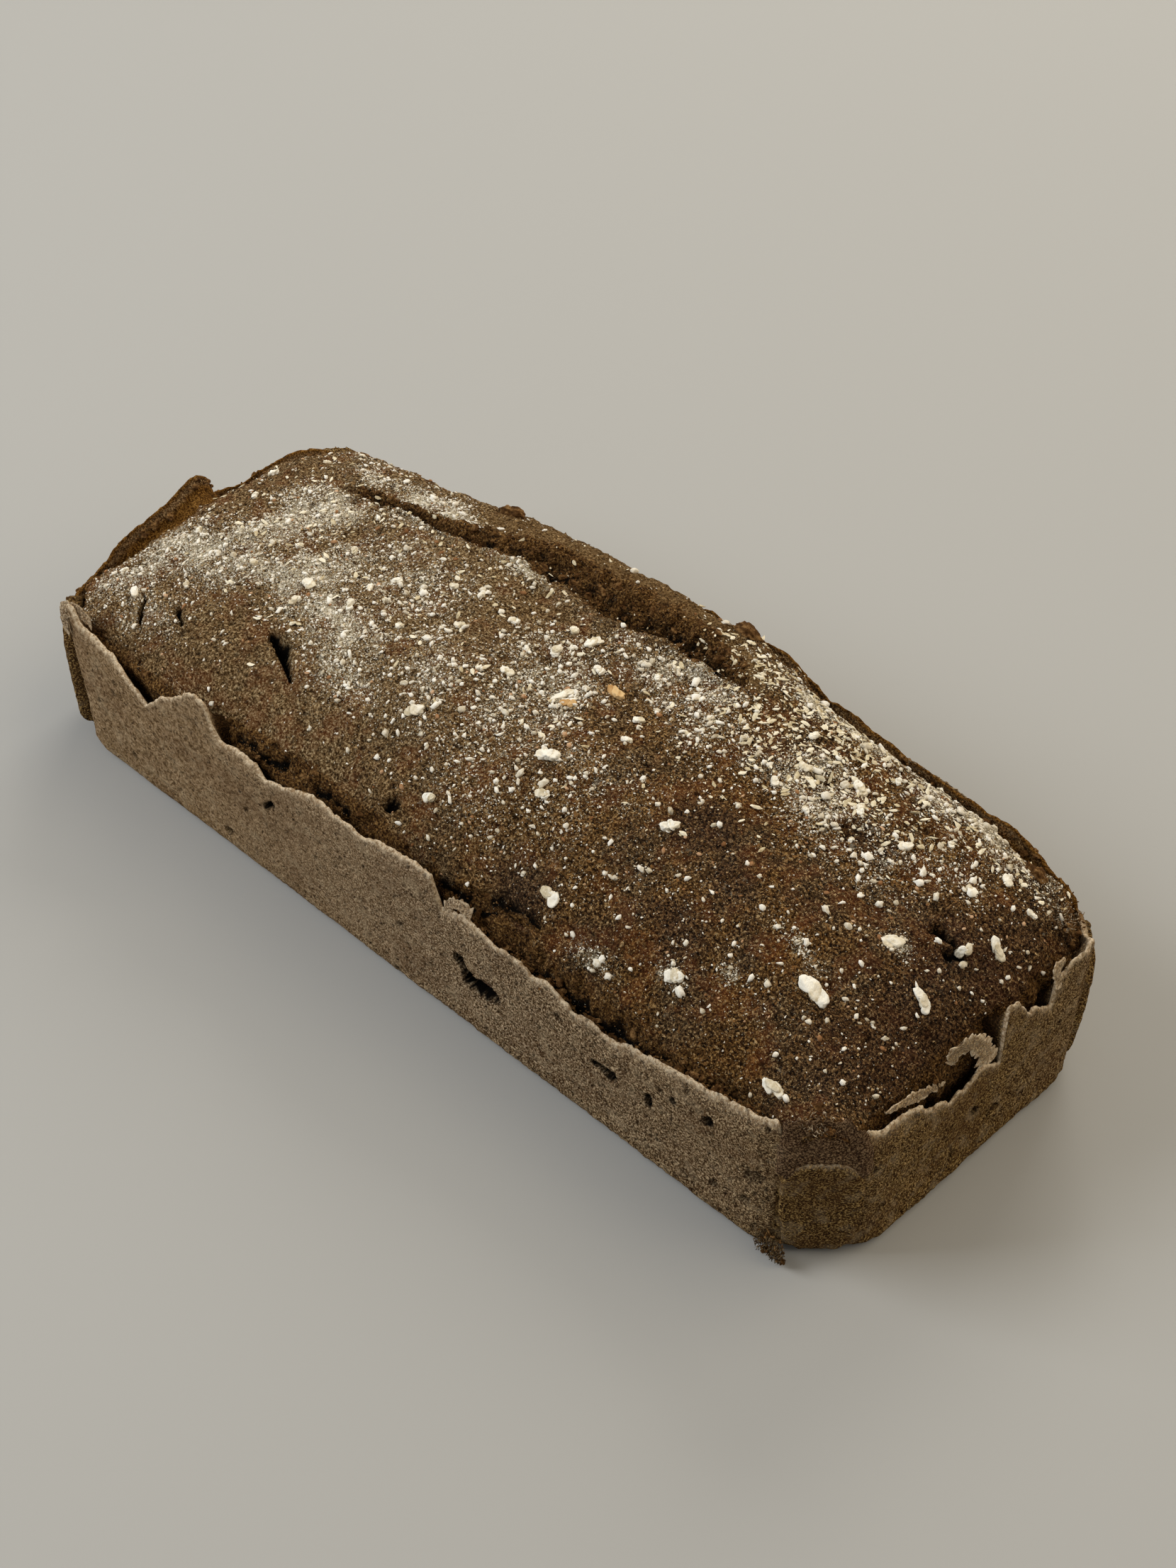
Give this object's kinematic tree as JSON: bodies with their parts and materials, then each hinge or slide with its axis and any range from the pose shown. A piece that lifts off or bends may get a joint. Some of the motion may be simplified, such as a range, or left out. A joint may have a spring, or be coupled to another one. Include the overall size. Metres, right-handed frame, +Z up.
{
  "type": "gluten-free fig bread",
  "caption": "Long dark tin loaf with a ragged pale side crust, cut corners and a domed, split top strewn with flour and flakes.",
  "frame": {"origin": "under the middle of the loaf, on the surface that it stands on", "axes": "+X along the loaf, -Y towards its long front side, +Z up"},
  "size_m": [0.263, 0.1034, 0.0627],
  "materials": {
    "side_crust": "dry matt crust, pale taupe with dark specks and pores",
    "top_crust": "rough dark brown crust with a fine open grain",
    "torn_crumb": "rough reddish brown torn crumb",
    "flour": "dry matt off-white",
    "flake": "dry matt cream",
    "bran": "dry matt golden tan"
  },
  "bodies": {
    "root": {"loaf": "side_crust"}
  },
  "joints": []
}
